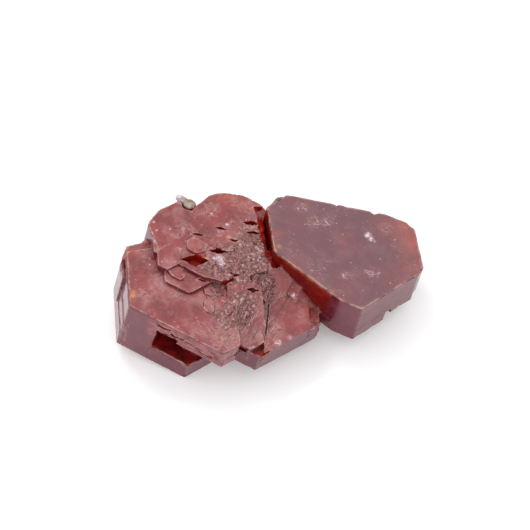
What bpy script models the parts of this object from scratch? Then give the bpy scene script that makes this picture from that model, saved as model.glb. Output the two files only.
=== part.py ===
"""Two tabular vanadinite crystals that grew into each other, with a grain of host rock.

Each crystal is a stack of six-sided tablets. A tablet is given the way a crystallographer
would: the lean and turn of its crystal, the distance from its middle to each side face,
and the levels of its top and bottom along the crystal's own axis. All construction values
are in millimetres, and the finished meshes are scaled to metres at the end.
"""

import math
import random

import bmesh
import bpy
from mathutils import Vector

METRES_PER_MM = 0.001
EDGE_WEAR = 0.05          # chamfer on the edges of a large tablet
SMALL_WEAR = 0.025        # chamfer on the edges of a thin step
GRAIN_CLEARANCE = 0.04    # between the grain and the floor of its notch
NOTCH_FLOOR = -1.7        # level of that floor in the left crystal
GROUND = -7.25            # height of the table, from the middle of the right crystal's top

WIDE_BLANK = 60.0         # side of the blank that each outline is cut from
MERGE_DISTANCE = 0.0001   # points closer than this after a union are one point


# Crystal directions.

class CrystalAxes:
    """The long axis of a crystal, and the two directions that its outline is drawn in."""

    def __init__(self, lean_x, lean_y, turn):
        axis = Vector((math.tan(math.radians(lean_x)), math.tan(math.radians(lean_y)), 1.0))
        self.up = axis.normalized()
        across = Vector((1.0, 0.0, 0.0))
        across = (across - across.dot(self.up) * self.up).normalized()
        along = self.up.cross(across)
        angle = math.radians(turn)
        self.u = math.cos(angle) * across + math.sin(angle) * along
        self.v = math.cos(angle) * along - math.sin(angle) * across

    def point(self, u, v, level):
        return u * self.u + v * self.v + level * self.up


RIGHT = CrystalAxes(8.6, -2.2, -20.7)
LEFT = CrystalAxes(10.5, -5.0, -25.5)
UNDER = CrystalAxes(3.0, 2.0, 8.0)
UNDER_BACK = CrystalAxes(-7.0, -6.0, -42.0)


# Outlines and solids.

def clip_outline(outline, angle, distance, centre):
    """Keep the part of an outline that is inside one side face."""
    normal = (math.cos(math.radians(angle)), math.sin(math.radians(angle)))

    def outside(point):
        return (point[0] - centre[0]) * normal[0] + (point[1] - centre[1]) * normal[1] - distance

    kept = []
    for index, start in enumerate(outline):
        end = outline[(index + 1) % len(outline)]
        start_side = outside(start)
        end_side = outside(end)
        if start_side <= 0.0:
            kept.append(start)
        if (start_side < 0.0 < end_side) or (end_side < 0.0 < start_side):
            share = start_side / (start_side - end_side)
            kept.append((start[0] + share * (end[0] - start[0]),
                         start[1] + share * (end[1] - start[1])))
    return kept


def face_outline(centre, faces):
    """The outline enclosed by side faces given as (direction in degrees, distance)."""
    half = WIDE_BLANK / 2
    outline = [(-half, -half), (half, -half), (half, half), (-half, half)]
    for angle, distance in faces:
        outline = clip_outline(outline, angle, distance, centre)
    return outline


def prism(name, axes, outline, top, bottom, wear=0.0, tilt=(0.0, 0.0)):
    """A solid with the outline's sides. Tilt lowers the top along u and v, per mm."""
    mesh = bmesh.new()
    low = [mesh.verts.new(axes.point(u, v, bottom)) for u, v in outline]
    middle_u = sum(u for u, v in outline) / len(outline)
    middle_v = sum(v for u, v in outline) / len(outline)
    high = [mesh.verts.new(axes.point(u, v, top - tilt[0] * (u - middle_u)
                                      - tilt[1] * (v - middle_v))) for u, v in outline]
    mesh.faces.new(list(reversed(low)))
    mesh.faces.new(high)
    for index in range(len(outline)):
        following = (index + 1) % len(outline)
        mesh.faces.new((low[index], low[following], high[following], high[index]))
    if wear > 0.0:
        bmesh.ops.bevel(mesh, geom=mesh.edges[:], offset=wear, offset_type='OFFSET',
                        segments=1, profile=0.5, affect='EDGES', clamp_overlap=True)
    return solid_object(name, mesh)


def solid_object(name, mesh):
    bmesh.ops.recalc_face_normals(mesh, faces=mesh.faces[:])
    data = bpy.data.meshes.new(name)
    mesh.to_mesh(data)
    mesh.free()
    solid = bpy.data.objects.new(name, data)
    bpy.context.scene.collection.objects.link(solid)
    return solid


def tablet(axes, centre, faces, top, bottom, wear=EDGE_WEAR, tilt=(0.0, 0.0)):
    return prism('tablet', axes, face_outline(centre, faces), top, bottom, wear, tilt)


def combine(solid, others, operation):
    """Union with, or cut by, a group of other solids, which are used up."""
    group = bpy.data.collections.new(operation.lower())
    for other in others:
        group.objects.link(other)
    modifier = solid.modifiers.new(operation.lower(), 'BOOLEAN')
    modifier.operation = operation
    modifier.solver = 'EXACT'
    modifier.operand_type = 'COLLECTION'
    modifier.collection = group
    evaluated = solid.evaluated_get(bpy.context.evaluated_depsgraph_get())
    result = bpy.data.meshes.new_from_object(evaluated)
    solid.modifiers.clear()
    solid.data = result
    for other in others:
        bpy.data.objects.remove(other, do_unlink=True)
    bpy.data.collections.remove(group)
    tidy(solid)


def tidy(solid):
    """Merge the points that a union leaves on top of each other, and keep the faces flat."""
    mesh = bmesh.new()
    mesh.from_mesh(solid.data)
    bmesh.ops.remove_doubles(mesh, verts=mesh.verts[:], dist=MERGE_DISTANCE)
    bmesh.ops.dissolve_degenerate(mesh, edges=mesh.edges[:], dist=MERGE_DISTANCE)
    bmesh.ops.triangulate(mesh, faces=mesh.faces[:])
    mesh.to_mesh(solid.data)
    mesh.free()


def hexagon(distance, turn=0.0):
    return tuple((turn + 30.0 + 60.0 * side, distance) for side in range(6))


# The right crystal.

RIGHT_CENTRE = (3.7, 7.2)
RIGHT_FACES = ((270, 6.0), (330, 6.55), (350, 7.2), (30, 6.4), (72, 4.95), (90, 3.72),
               (103, 3.02), (150, 5.6), (208, 5.75), (253, 5.05))


def right_crystal():
    """One clean tablet over a thinner, chipped one."""
    main = tablet(RIGHT, RIGHT_CENTRE, RIGHT_FACES, 0.0, -3.45, wear=0.07)
    corner = tablet(RIGHT, (-1.75, 7.6), ((90, 1.13), (128, 1.0), (165, 0.8), (45, 1.3),
                                          (300, 2.0), (240, 1.2)), -0.012, -3.1)
    lower = tablet(RIGHT, RIGHT_CENTRE, ((270, 6.015), (330, 6.56), (60, 0.2), (90, 2.9),
                                         (150, 4.6), (210, 5.3), (253, 5.07)), -3.3, -4.62)
    end = tablet(RIGHT, (9.05, 6.45), ((330, 1.53), (60, 1.15), (90, 1.6), (150, 2.2),
                                       (240, 1.2)), -3.3, -4.06)
    return [main, corner, lower, end]


def right_crystal_cuts():
    """Rim chips and the thin crack of the right crystal."""
    crack = tablet(RIGHT, (10.2, 3.9), ((60, 0.5), (240, 0.45), (330, 0.9), (150, 0.45)),
                   -2.8, -2.95, wear=0.0)
    rim_chip = tablet(RIGHT, (5.3, 11.15), ((210, 0.5), (250, 0.62), (310, 0.7), (90, 1.0)),
                      0.3, -0.32, wear=0.0)
    back_chip = tablet(RIGHT, (2.2, 10.6), ((200, 0.4), (262, 0.75), (330, 0.6), (90, 1.0)),
                       0.3, -0.55, wear=0.0)
    return [crack, rim_chip, back_chip]


# The left crystal.

BLOCK_CENTRE = (-6.0, -4.0)


def left_front_block():
    """The tall prism at the front left: an overhanging top, a recess and a broad foot."""
    top = tablet(LEFT, BLOCK_CENTRE, ((270, 2.75), (330, 6.15), (30, 4.9), (90, 4.6),
                                      (132, 4.88), (210, 3.93)), -1.5, -3.1, wear=0.07)
    shelf = tablet(LEFT, (-2.9, -5.0), ((270, 1.58), (330, 3.0), (30, 2.6), (90, 3.0), (190, 1.75)),
                   -2.83, -3.88)
    low_shelf = tablet(LEFT, (-2.3, -5.0), ((270, 1.4), (330, 1.6), (30, 1.6), (90, 3.0), (170, 1.2)),
                       -3.4, -4.14)
    pillar = tablet(LEFT, BLOCK_CENTRE, ((270, 2.765), (0, -0.25), (90, 4.9), (132, 4.7), (210, 4.0)),
                    -1.72, -7.9)
    recess_wall = tablet(LEFT, (-3.0, -1.5), ((270, 3.35), (330, 3.2), (30, 4.0), (90, 3.9), (210, 3.2)),
                         -2.62, -6.43)
    recess_step = tablet(LEFT, (-2.9, -1.6), ((270, 3.9), (330, 2.1), (30, 3.6), (90, 3.6), (210, 2.9)),
                         -4.9, -6.11)
    foot = tablet(LEFT, BLOCK_CENTRE, ((270, 2.74), (330, 4.055), (30, 5.0), (90, 4.2), (132, 5.5),
                                       (150, 5.8), (210, 4.13)), -5.9, -8.0, wear=0.07)
    left_band = tablet(LEFT, BLOCK_CENTRE, ((270, 2.7), (330, 0.5), (90, 2.05), (132, 5.1), (150, 5.3),
                                            (210, 4.08)), -4.4, -7.7)
    return [top, shelf, low_shelf, pillar, recess_wall, recess_step, foot, left_band]


def left_upper_tablets():
    """The plateau and its lobes, one thin tablet above another."""
    plateau = tablet(LEFT, (-6.0, 1.5), ((210, 4.55), (270, 3.1), (316, 3.68), (287, 3.28), (11, 5.28),
                                         (32, 4.66), (45, 4.55), (90, 3.2), (150, 3.6)), -0.8, -4.33)
    left_lobe = tablet(LEFT, (-8.9, 1.6), ((227, 2.34), (188, 2.25), (171, 2.04), (150, 1.97), (97, 2.25),
                                           (30, 2.2), (300, 2.4)), -0.785, -3.73, wear=0.06)
    back_lobe = tablet(LEFT, (-6.0, 4.3), ((33, 3.46), (60, 3.5), (85, 2.96), (96, 2.73), (116, 2.4),
                                           (131, 2.34), (157, 2.52), (210, 3.0), (290, 3.0)),
                       -0.77, -4.1, wear=0.06)
    low_lobe = tablet(LEFT, (-10.2, -1.0), ((210, 2.1), (190, 1.7), (138, 0.95), (30, 2.5), (300, 2.5)),
                      -2.4, -6.4, wear=0.06)
    low_lobe_back = tablet(LEFT, (-10.0, 0.0), ((210, 1.0), (160, 0.8), (105, 0.6), (30, 2.5),
                                                (300, 2.5)), -2.45, -5.9, wear=0.06)
    front_plate = tablet(LEFT, (-5.7, -1.5), ((210, 2.52), (270, 1.88), (330, 1.28), (30, 1.75),
                                              (80, 2.0), (130, 2.2)), -1.15, -3.0, wear=SMALL_WEAR)
    small_plate = tablet(LEFT, (-7.26, -1.85), ((210, 0.8), (240, 0.78), (270, 0.9), (330, 1.16),
                                                (30, 0.63), (60, 0.64), (90, 0.75), (145, 1.05)),
                         -0.97, -2.0, wear=SMALL_WEAR)
    corner_plate = tablet(LEFT, (-8.0, -1.1), ((210, 1.27), (270, 1.5), (330, 0.95), (30, 0.68),
                                               (90, 0.85), (150, 1.0)), -0.72, -2.0, wear=SMALL_WEAR)
    hood = tablet(LEFT, (-6.75, 0.55), ((210, 0.7), (268, 0.6), (325, 0.75), (30, 0.9), (90, 0.7),
                                        (150, 0.8)), -0.66, -1.5, wear=SMALL_WEAR)
    square_plate = tablet(LEFT, (-3.95, -0.3), ((25.5, 0.5), (115.5, 0.6), (205.5, 0.5), (295.5, 0.55)),
                          -0.74, -1.5, wear=SMALL_WEAR)
    grain_ledge = tablet(LEFT, (-9.0, 3.2), ((20, 1.1), (84, 1.15), (146, 1.1), (205, 1.3), (300, 1.5)),
                         -1.62, -4.9)
    return [plateau, left_lobe, back_lobe, low_lobe, low_lobe_back, front_plate, small_plate,
            corner_plate, hood, square_plate, grain_ledge]


def left_slopes():
    """The etched slope down to the lower tablet, and the slopes at the right crystal's foot."""
    etched = tablet(LEFT, (-0.4, -1.6), ((210, 2.0), (270, 1.9), (300, 2.2), (37.5, 0.95), (90, 1.7),
                                         (150, 2.6)), -1.52, -3.9, wear=SMALL_WEAR, tilt=(0.1, -0.44))
    saddle = tablet(LEFT, (0.6, 1.9), ((278, 1.7), (0, 1.75), (90, 2.0), (180, 3.0)), -1.71, -4.45,
                    wear=SMALL_WEAR, tilt=(0.17, -0.46))
    shoulder = tablet(LEFT, (-0.7, 0.6), ((8, 0.9), (97, 1.2), (180, 1.0), (262, 0.8)), -1.36, -3.47,
                      wear=SMALL_WEAR, tilt=(0.5, -0.05))
    ramp = tablet(LEFT, (3.1, 2.1), ((270, 0.78), (0, 1.5), (90, 2.1), (180, 1.6)), -2.23, -4.57,
                  wear=SMALL_WEAR, tilt=(0.42, -0.3))
    return [etched, saddle, shoulder, ramp]


def left_lower_tablets():
    """The lower tablet between the front block and the right crystal."""
    base = tablet(LEFT, (1.6, -1.5), ((270, 3.22), (330, 2.02), (30, 4.1), (90, 4.0), (150, 4.0),
                                      (210, 3.4)), -2.86, -5.1, wear=0.06)
    right_plate = tablet(LEFT, (2.3, -0.9), ((270, 3.62), (330, 1.75), (30, 2.25), (88, 2.4), (150, 1.75),
                                             (203, 1.5)), -2.34, -3.86)
    left_plate = tablet(LEFT, (0.0, -2.6), ((270, 2.2), (330, 2.1), (20, 1.4), (90, 3.9), (200, 2.2)),
                        -2.24, -4.17)
    return [base, right_plate, left_plate]


def uneven_hexagon(rng, size):
    return tuple((30 + 60 * side + rng.uniform(-9, 9), size * rng.uniform(0.65, 1.15))
                 for side in range(6))


def left_small_plates():
    """Thin growth plates that stand a little proud of the left crystal's faces."""
    rng = random.Random(4)
    plates = []
    for u, v, size, top in ((-3.85, -2.1, 0.55, -1.38), (-3.4, -3.4, 0.6, -1.41),
                            (-7.3, 4.5, 0.6, -0.72), (-8.6, 1.0, 0.55, -0.75)):
        plates.append(tablet(LEFT, (u, v), uneven_hexagon(rng, size), top, top - 0.6, wear=SMALL_WEAR))
    taken = []
    while len(taken) < 22:
        reach = 2.5 * math.sqrt(rng.random())
        way = rng.uniform(0.0, math.tau)
        u = -3.7 + reach * math.cos(way)
        v = 2.0 + 1.15 * reach * math.sin(way)
        size = rng.uniform(0.16, 0.36)
        if any(math.hypot(u - other[0], v - other[1]) < 1.25 * (size + other[2]) for other in taken):
            continue
        taken.append((u, v, size))
        rise = rng.uniform(0.04, 0.14)
        tilt = (rng.uniform(-0.2, 0.2), rng.uniform(-0.2, 0.2))
        plates.append(tablet(LEFT, (u, v), uneven_hexagon(rng, size), -0.8 + rise, -1.3 - rise,
                             wear=SMALL_WEAR, tilt=tilt))
    return plates


def slit(u, v, width, depth):
    """A pointed crevice that runs across the view, about eight times as long as it is wide."""
    faces = ((101.5, width), (129.5, width), (281.5, width), (309.5, width))
    return tablet(LEFT, (u, v), faces, 0.5, -depth, wear=0.0)


def left_crystal_cuts():
    """The lens-shaped pit, the slits between tablets, and the notches of the rims."""
    lens = tablet(LEFT, (-6.2, -0.55), ((93, 0.55), (142, 0.5), (271, 0.52), (334, 0.58)), 0.5, -1.7,
                  wear=0.0)
    slits = [slit(*values) for values in (
        (-5.05, 1.22, 0.2, 1.5), (-5.78, 3.26, 0.13, 1.2), (-3.78, 5.05, 0.2, 1.3),
        (-3.2, 4.36, 0.13, 1.2), (-7.07, 1.7, 0.14, 1.1), (-4.4, 2.8, 0.1, 1.05),
        (-0.98, -0.47, 0.13, 1.9), (-2.8, -0.05, 0.11, 1.3), (-4.9, -1.75, 0.12, 1.8))]
    grain_notch = tablet(LEFT, (-9.02, 4.05), ((215, 0.6), (270, 0.62), (345, 0.62), (120, 2.0)),
                         0.5, NOTCH_FLOOR, wear=0.0)
    lobe_notch = tablet(LEFT, (-12.0, -1.8), ((30, 0.5), (330, 0.45), (90, 0.5), (210, 2.0), (270, 0.5)),
                        -4.0, -5.5, wear=0.0)
    plate_gap = tablet(LEFT, (1.05, -1.3), ((20, 0.08), (200, 0.08), (110, 1.45), (290, 1.7)),
                       0.5, -2.75, wear=0.0)
    breaks = []
    for start, end, level, height, depth in (
            (-6.3, -5.2, -2.08, 0.16, 0.25), (-5.05, -3.9, -2.42, 0.2, 0.4), (-3.7, -2.2, -2.56, 0.16, 0.35),
            (-5.6, -4.6, -2.86, 0.14, 0.3), (-2.6, -1.2, -2.9, 0.15, 0.4)):
        half = (end - start) / 2
        breaks.append(tablet(LEFT, (start + half, -6.75), ((90, depth), (270, 1.0), (180, half), (0, half)),
                             level, level - height, wear=0.0))
    # The rim beside the right crystal falls away steeply. This cutter's sloping face is its lower one.
    seam_sides = ((217.5, 0.44), (37.5, 0.9), (127.5, 2.62), (307.5, 2.9))
    seam = prism('seam', LEFT, face_outline((-2.3, 4.75), seam_sides), -1.52, 1.0, tilt=(0.87, 0.67))
    window_left = tablet(LEFT, (0.62, -5.1), ((93, 0.55), (203, 0.5), (23, 0.42), (270, 1.0)),
                         -2.43, -3.13, wear=0.0)
    window_right = tablet(LEFT, (1.75, -4.1), ((150, 0.35), (240, 0.55), (60, 0.5), (330, 1.2)),
                          -2.36, -2.8, wear=0.0)
    return slits + breaks + [lens, grain_notch, lobe_notch, plate_gap, seam, window_left, window_right]


# The hidden underside.

def underside():
    """Smaller, differently turned tablets that the two crystals started from."""
    heart = tablet(UNDER, (0.6, 3.4), ((30, 4.6), (90, 3.9), (150, 5.2), (210, 4.8), (270, 3.4),
                                       (330, 3.3)), -2.6, -7.9, wear=0.08)
    back = tablet(UNDER_BACK, (-5.8, 3.0), ((30, 3.0), (90, 3.2), (150, 2.8), (210, 3.6), (270, 3.0),
                                            (330, 3.6)), -3.0, -6.6, wear=0.08)
    right_under = tablet(RIGHT, (6.2, 7.2), ((30, 3.2), (90, 2.6), (150, 3.4), (210, 3.0), (270, 3.4),
                                             (330, 2.9)), -4.3, -5.9, wear=0.06)
    step = tablet(UNDER, (3.8, 4.6), ((30, 3.4), (90, 2.4), (150, 2.6), (210, 3.0), (270, 2.8),
                                      (330, 2.6)), -4.0, -7.0, wear=0.06)
    left_under = tablet(LEFT, (-7.4, -1.2), ((30, 3.4), (90, 2.4), (150, 2.6), (210, 2.7), (270, 2.4),
                                             (330, 3.6)), -4.0, -7.1, wear=0.06)
    return [heart, back, right_under, step, left_under]


def table_cut():
    """Everything below the flat broken foot that the specimen rests on."""
    level = CrystalAxes(0.0, 0.0, 0.0)
    return tablet(level, (0.0, 0.0), hexagon(25.0), GROUND, GROUND - 10.0, wear=0.0)


# The grain.

def pale_grain():
    """A small lump of host rock in the notch of the back rim."""
    main = tablet(LEFT, (-8.95, 4.0), ((20, 0.5), (80, 0.4), (140, 0.38), (200, 0.5), (260, 0.45),
                                       (320, 0.45)),
                  -0.68, NOTCH_FLOOR + GRAIN_CLEARANCE, wear=0.1, tilt=(0.1, -0.12))
    tip = tablet(LEFT, (-10.0, 4.02), ((0, 0.3), (70, 0.2), (130, 0.22), (190, 0.24), (260, 0.16),
                                       (310, 0.22)), -0.5, -1.1, wear=0.05, tilt=(-0.1, 0.1))
    bridge = tablet(LEFT, (-9.55, 4.06), ((0, 0.5), (84, 0.25), (172, 0.45), (262, 0.25)), -0.66, -1.3,
                    wear=0.06)
    return [main, tip, bridge]


# Finish.

def surface(name, colour, roughness):
    material = bpy.data.materials.new(name)
    material.use_nodes = True
    shader = material.node_tree.nodes['Principled BSDF']
    shader.inputs['Base Color'].default_value = (*colour, 1.0)
    shader.inputs['Roughness'].default_value = roughness
    shader.inputs['Metallic'].default_value = 0.0
    return material


def bounds(solid):
    corners = [vertex.co for vertex in solid.data.vertices]
    lowest = Vector(min(corner[axis] for corner in corners) for axis in range(3))
    highest = Vector(max(corner[axis] for corner in corners) for axis in range(3))
    return lowest, highest


def place(solid, shift):
    for vertex in solid.data.vertices:
        vertex.co = (vertex.co + shift) * METRES_PER_MM


def main():
    for item in list(bpy.data.objects):
        bpy.data.objects.remove(item, do_unlink=True)

    crystal = tablet(LEFT, (-2.0, 1.0), hexagon(3.2), -2.95, -6.0)
    crystal.name = 'vanadinite_crystal'
    combine(crystal, left_front_block() + left_upper_tablets() + left_slopes()
            + left_lower_tablets() + left_small_plates(), 'UNION')
    combine(crystal, left_crystal_cuts(), 'DIFFERENCE')
    combine(crystal, right_crystal() + underside(), 'UNION')
    combine(crystal, right_crystal_cuts() + [table_cut()], 'DIFFERENCE')

    lumps = pale_grain()
    grain = lumps[0]
    grain.name = 'pale_grain'
    combine(grain, lumps[1:], 'UNION')

    lowest, highest = bounds(crystal)
    shift = Vector((-(lowest.x + highest.x) / 2, -(lowest.y + highest.y) / 2, -lowest.z))
    place(crystal, shift)
    place(grain, shift)
    crystal.data.materials.append(surface('vanadinite_red', (0.24, 0.035, 0.035), 0.2))
    grain.data.materials.append(surface('host_rock', (0.62, 0.62, 0.52), 0.45))


main()
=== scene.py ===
import math
import random

import bmesh
import bpy
import numpy as np
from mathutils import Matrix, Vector, geometry, kdtree, noise
from mathutils.bvhtree import BVHTree


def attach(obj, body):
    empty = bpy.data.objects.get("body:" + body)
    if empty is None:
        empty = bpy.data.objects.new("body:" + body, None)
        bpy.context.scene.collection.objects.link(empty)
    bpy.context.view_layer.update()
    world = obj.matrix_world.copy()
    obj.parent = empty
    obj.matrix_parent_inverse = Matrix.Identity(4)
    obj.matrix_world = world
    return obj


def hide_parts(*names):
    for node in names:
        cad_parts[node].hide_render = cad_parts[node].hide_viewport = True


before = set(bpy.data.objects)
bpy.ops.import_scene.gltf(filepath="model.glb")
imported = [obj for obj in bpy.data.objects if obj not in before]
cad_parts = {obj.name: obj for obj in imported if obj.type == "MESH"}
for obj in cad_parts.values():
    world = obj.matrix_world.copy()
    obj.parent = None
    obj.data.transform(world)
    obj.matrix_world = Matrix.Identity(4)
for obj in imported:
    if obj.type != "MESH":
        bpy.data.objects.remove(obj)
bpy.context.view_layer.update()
mm = 0.001


# The two crystals lean differently, and each has its own growth axis and its own flat directions.

crystals = {
    "origin": (0.051, -2.141, 7.25),        # where their shared zero point is, in mm
    "right": {"lean": (8.6, -2.2), "turn": -20.7},
    "left": {"lean": (10.5, -5.0), "turn": -25.5},
}


class GrowthAxes:
    def __init__(self, lean, turn):
        self.up = Vector((math.tan(math.radians(lean[0])), math.tan(math.radians(lean[1])), 1)).normalized()
        across = (Vector((1, 0, 0)) - self.up.x * self.up).normalized()
        along = self.up.cross(across)
        angle = math.radians(turn)
        self.u = math.cos(angle) * across + math.sin(angle) * along
        self.v = math.cos(angle) * along - math.sin(angle) * across

    # a point in mm, in the frame, to the crystal's own (u, v, level)
    def read(self, place):
        spot = place - crystalOrigin
        return spot.dot(self.u), spot.dot(self.v), spot.dot(self.up)


crystalOrigin = Vector(crystals["origin"])
rightAxes = GrowthAxes(**crystals["right"])
leftAxes = GrowthAxes(**crystals["left"])


def smooth(low, high, value):
    share = min(1.0, max(0.0, (value - low) / (high - low)))
    return share * share * (3 - 2 * share)


# The sides of the right crystal that face the gap, as (direction, distance) from its middle.
rightMiddle = (3.7, 7.2)
gapSides = ((208, 5.77), (253, 5.07), (270, 6.02), (180, 6.32))
rightBottom = -4.7


def onRight(place):
    u, v, level = rightAxes.read(place)
    if level < rightBottom:
        return False
    for angle, distance in gapSides:
        turn = math.radians(angle)
        if (u - rightMiddle[0]) * math.cos(turn) + (v - rightMiddle[1]) * math.sin(turn) > distance:
            return False
    return True


# Fine mesh: every flat face of the frame's solid is filled again with small even triangles.

fineMesh = {
    "flatAngle": 0.4,        # faces closer than this, in degrees, are one flat patch
    "rimAngle": 25.0,        # an edge sharper than this is a rim or a crease
    "thinStrip": 0.03,       # unless a face beside it is narrower than this
    "mergeWithin": 0.0002,
    "hiddenBelow": -0.25,    # faces that look down more than this, by their normal's z, don't show
    "seenStep": 0.17,        # triangle size on the faces that show, in mm
    "etchedStep": 0.085,
    "hiddenStep": 0.42,      # on the back and underneath
    "edgeRow": 0.07,         # distance of the first row of points from a rim or a crease
    "shortEdge": 0.06,       # edges shorter than this get no such point
    "rowClear": 0.8,         # how far that row stays from other edges, and the grid from all, in edge rows
    "gridClear": 1.5,
    "fillFrom": 0.02,        # patches smaller than this, in mm2, get no points inside
    "rowHeight": 0.866,      # of the triangular grid, in steps
    "gridEnds": 0.4,         # how far a grid row stays from its ends, in steps
    "jitter": 0.2,
    "etchedUp": 0.2,         # only faces that look up more than this get the etched grid
    "seed": 7,
}


def isEtched(place):
    return etchedShare(place) > etched["fineFrom"]


def faceStep(centre, normal):
    if normal.z < fineMesh["hiddenBelow"]:
        return fineMesh["hiddenStep"]
    if isEtched(centre):
        return fineMesh["etchedStep"]
    return fineMesh["seenStep"]


def nearOutline(u, v, outline, reach):
    last = outline[-1]
    for point in outline:
        du, dv = point[0] - last[0], point[1] - last[1]
        length = du * du + dv * dv
        share = ((u - last[0]) * du + (v - last[1]) * dv) / length if length > 0 else 0.0
        share = min(1.0, max(0.0, share))
        if (u - last[0] - share * du) ** 2 + (v - last[1] - share * dv) ** 2 < reach * reach:
            return True
        last = point
    return False


def refill(node, name):
    rng = random.Random(fineMesh["seed"])
    coarse = bmesh.new()
    coarse.from_mesh(node.data)
    for vert in coarse.verts:
        vert.co /= mm
    bmesh.ops.remove_doubles(coarse, verts=coarse.verts[:], dist=fineMesh["mergeWithin"])
    bmesh.ops.dissolve_limit(coarse, angle_limit=math.radians(fineMesh["flatAngle"]),
                             use_dissolve_boundaries=False, verts=coarse.verts[:], edges=coarse.edges[:])
    coarse.normal_update()

    points = []
    corner = {}
    for vert in coarse.verts:
        corner[vert] = len(points)
        points.append(vert.co.copy())
    along = {}                                    # points added along each edge, shared by its two faces
    rim, crease = set(), set()
    thin = set()
    for face in coarse.faces:
        if face.calc_area() < fineMesh["thinStrip"] * max(edge.calc_length() for edge in face.edges):
            thin.add(face)
    for edge in coarse.edges:
        start, end = edge.verts
        middle = (start.co + end.co) / 2
        normal = sum((face.normal for face in edge.link_faces), Vector())
        normal = normal.normalized() if normal.length > 1e-6 else Vector((0, 0, 1))
        pieces = max(1, round((end.co - start.co).length / faceStep(middle, normal)))
        row = []
        for index in range(1, pieces):
            row.append(len(points))
            points.append(start.co.lerp(end.co, index / pieces))
        along[edge] = row
        sharp = edge.calc_face_angle(0.0) > math.radians(fineMesh["rimAngle"])
        if sharp and not any(face in thin for face in edge.link_faces):
            (rim if edge.is_convex else crease).update(row + [corner[start], corner[end]])

    triangles = []
    patchOf = []
    for patch, face in enumerate(coarse.faces):
        loop = []
        for step in face.loops:
            loop.append(corner[step.vert])
            row = along[step.edge]
            loop.extend(row if step.edge.verts[0] == step.vert else reversed(row))
        normal = face.normal
        across = normal.orthogonal().normalized()
        up = normal.cross(across)
        base = face.verts[0].co
        flat = [((points[i] - base).dot(across), (points[i] - base).dot(up)) for i in loop]
        inner = []
        if face.calc_area() > fineMesh["fillFrom"]:
            hidden = normal.z < fineMesh["hiddenBelow"]
            step = fineMesh["hiddenStep" if hidden else "seenStep"]
            inner = fillPoints(flat, step, base, across, up, normal, rng)
            if not hidden:
                lines = [i in rim or i in crease for i in loop]
                inner += edgeRow(flat, lines)
        found = geometry.delaunay_2d_cdt([Vector(p) for p in flat + inner], [],
                                         [list(range(len(flat)))], 1, 1e-6)
        numbers = {}
        for triangle in found[2]:
            for i in triangle:
                if i in numbers:
                    continue
                source = min(found[3][i], default=len(loop))
                if source < len(loop):
                    numbers[i] = loop[source]
                else:
                    numbers[i] = len(points)
                    points.append(base + across * found[0][i].x + up * found[0][i].y)
            ids = [numbers[i] for i in triangle]
            if len(set(ids)) == 3:
                a, b, c = (points[i] for i in ids)
                if (b - a).cross(c - a).dot(normal) < 0:
                    ids.reverse()
                triangles.append(ids)
                patchOf.append(patch)
    coarse.free()
    mesh = bpy.data.meshes.new(name)
    mesh.from_pydata([p * mm for p in points], [], triangles)
    mesh.update()
    return mesh, rim, crease, patchOf


# A row of points just inside the rims and creases of a patch, which keeps their lines thin.
def edgeRow(flat, lines):
    reach = fineMesh["edgeRow"]
    row = []
    for index, (u, v) in enumerate(flat):
        nextU, nextV = flat[(index + 1) % len(flat)]
        length = math.hypot(nextU - u, nextV - v)
        if not (lines[index] and lines[(index + 1) % len(flat)]) or length < fineMesh["shortEdge"]:
            continue
        spotU = (u + nextU) / 2 - (nextV - v) / length * reach
        spotV = (v + nextV) / 2 + (nextU - u) / length * reach
        others = flat[index + 2:] + flat[:index]
        if not nearOutline(spotU, spotV, others, fineMesh["rowClear"] * reach):
            row.append((spotU, spotV))
    return row


# Interior points of one flat patch: a loose triangular grid, closer together where the surface is etched.
def fillPoints(flat, step, base, across, up, normal, rng):
    lowU = min(p[0] for p in flat)
    lowV, highV = min(p[1] for p in flat), max(p[1] for p in flat)
    inner = []
    jitter, ends = fineMesh["jitter"], fineMesh["gridEnds"]
    for size, wantsEtched in ((step, False), (fineMesh["etchedStep"], True)):
        if wantsEtched and normal.z < fineMesh["etchedUp"]:
            continue
        rowHeight = fineMesh["rowHeight"]
        for row in range(int((highV - lowV) / (size * rowHeight)) + 1):
            v = lowV + (row + 0.5) * size * rowHeight
            crossings = []
            last = flat[-1]
            for point in flat:
                if (point[1] > v) != (last[1] > v):
                    slant = (last[0] - point[0]) * (v - point[1]) / (last[1] - point[1])
                    crossings.append(slant + point[0])
                last = point
            crossings.sort()
            for left, right in zip(crossings[::2], crossings[1::2]):
                first = math.ceil((left - lowU) / size - 0.5 * (row % 2))
                u = lowU + (first + 0.5 * (row % 2)) * size
                while u < right:
                    if u - left > ends * size and right - u > ends * size:
                        place = base + across * u + up * v
                        if isEtched(place) == wantsEtched:
                            inner.append((u + rng.uniform(-jitter, jitter) * size,
                                          v + rng.uniform(-jitter, jitter) * size))
                    u += size
    clear = fineMesh["gridClear"] * fineMesh["edgeRow"]
    return [p for p in inner if not nearOutline(p[0], p[1], flat, clear)]


# Where each kind of surface lies. Places are (u, v) in mm in a crystal's own axes.

etched = {
    "middle": (-2.6, 1.4),        # the rough patch of the left crystal beside the gap
    "reach": (3.1, 4.6),
    "lean": -18.0,
    "front": (-1.4, -2.6),        # its tail on the steps in front
    "frontReach": (1.7, 2.6),
    "ragged": (0.55, 0.25),       # how ragged its outline is, coarsely and finely
    "raggedSize": (0.8, 2.3),
    "outline": (0.55, 1.05),      # where it starts to fade and where it has ended
    "lowest": -3.2,
    "fineFrom": 0.12,             # the mesh is fine where it is stronger than this
}


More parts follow.
